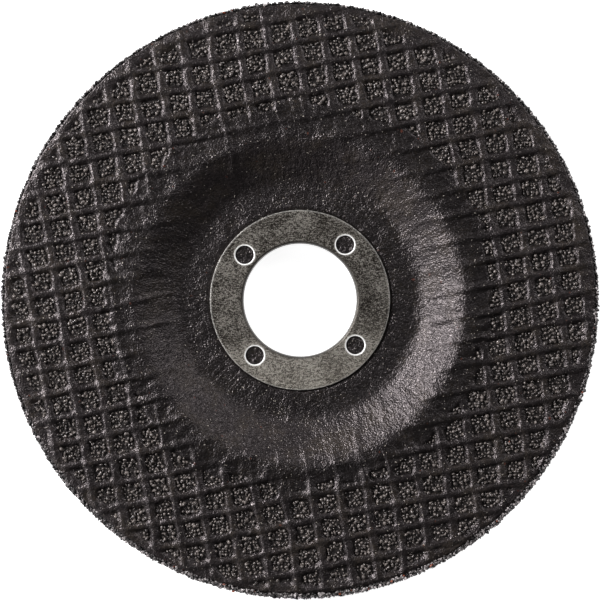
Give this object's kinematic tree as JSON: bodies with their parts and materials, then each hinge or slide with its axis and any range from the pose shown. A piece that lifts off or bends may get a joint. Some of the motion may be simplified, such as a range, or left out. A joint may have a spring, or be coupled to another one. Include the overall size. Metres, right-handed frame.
{
  "type": "grinding disc",
  "caption": "Round depressed-centre grinding disc of resin-bonded abrasive with moulded-in glass net, and a pressed steel ring lining its bore.",
  "frame": {"origin": "on the disc's axis, in the plane of the hub's back face that it lies on", "axes": "+Z along the disc's axis, out of the dished grinding face; +X to the right and +Y to the top in the picture"},
  "size_m": [0.115, 0.115, 0.0106],
  "materials": {
    "bonded_abrasive": "dark charcoal resin-bonded grit with net ridges, dull sheen",
    "ring_steel": "dull pressed sheet steel, mottled"
  },
  "bodies": {
    "root": {"abrasive_disc": "bonded_abrasive", "centre_ring": "ring_steel"}
  },
  "joints": []
}
